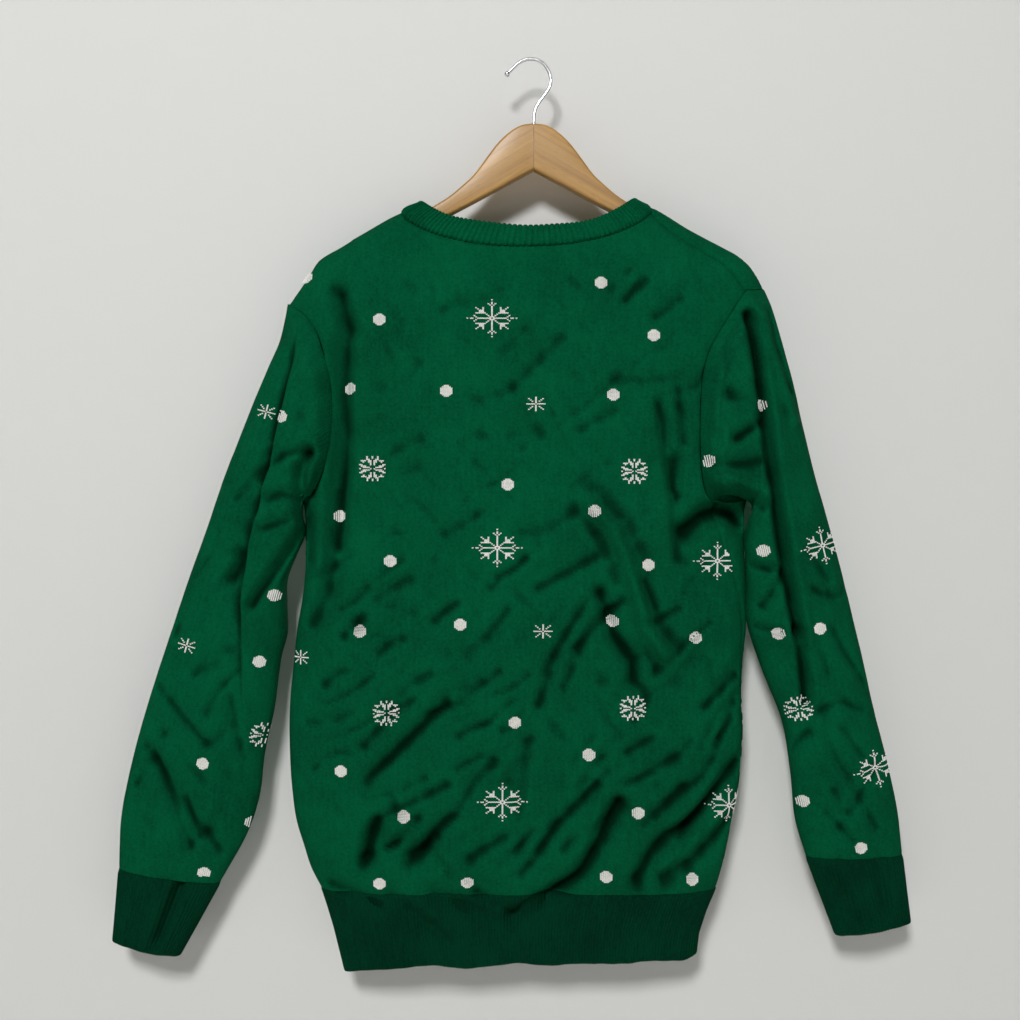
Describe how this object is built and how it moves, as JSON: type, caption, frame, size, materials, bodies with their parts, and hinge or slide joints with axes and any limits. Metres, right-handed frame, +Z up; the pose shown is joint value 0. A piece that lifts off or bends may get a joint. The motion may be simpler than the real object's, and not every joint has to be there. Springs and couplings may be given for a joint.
{
  "type": "jumper on a coat hanger",
  "caption": "Long-sleeved crew neck knitted jumper hanging on a wooden coat hanger with a wire hook.",
  "frame": {"origin": "inside the top of the wire hook, where a rail bears", "axes": "+Z up, -Y out of the garment's back, +X to the right as the back is seen"},
  "size_m": [0.7414, 0.0746, 0.8474],
  "materials": {
    "knit_green": "fine matte wool knit",
    "rib_green": "matte ribbed wool knit",
    "beech": "satin varnish",
    "wire": "polished"
  },
  "bodies": {
    "root": {"body_back": "knit_green", "body_front": "knit_green", "sleeve_left": "knit_green", "sleeve_right": "knit_green", "cuff_left": "rib_green", "cuff_right": "rib_green", "hem_rib": "rib_green", "neck_rib": "rib_green", "hanger_left": "beech", "hanger_right": "beech", "hanger_hook": "wire"}
  },
  "joints": []
}
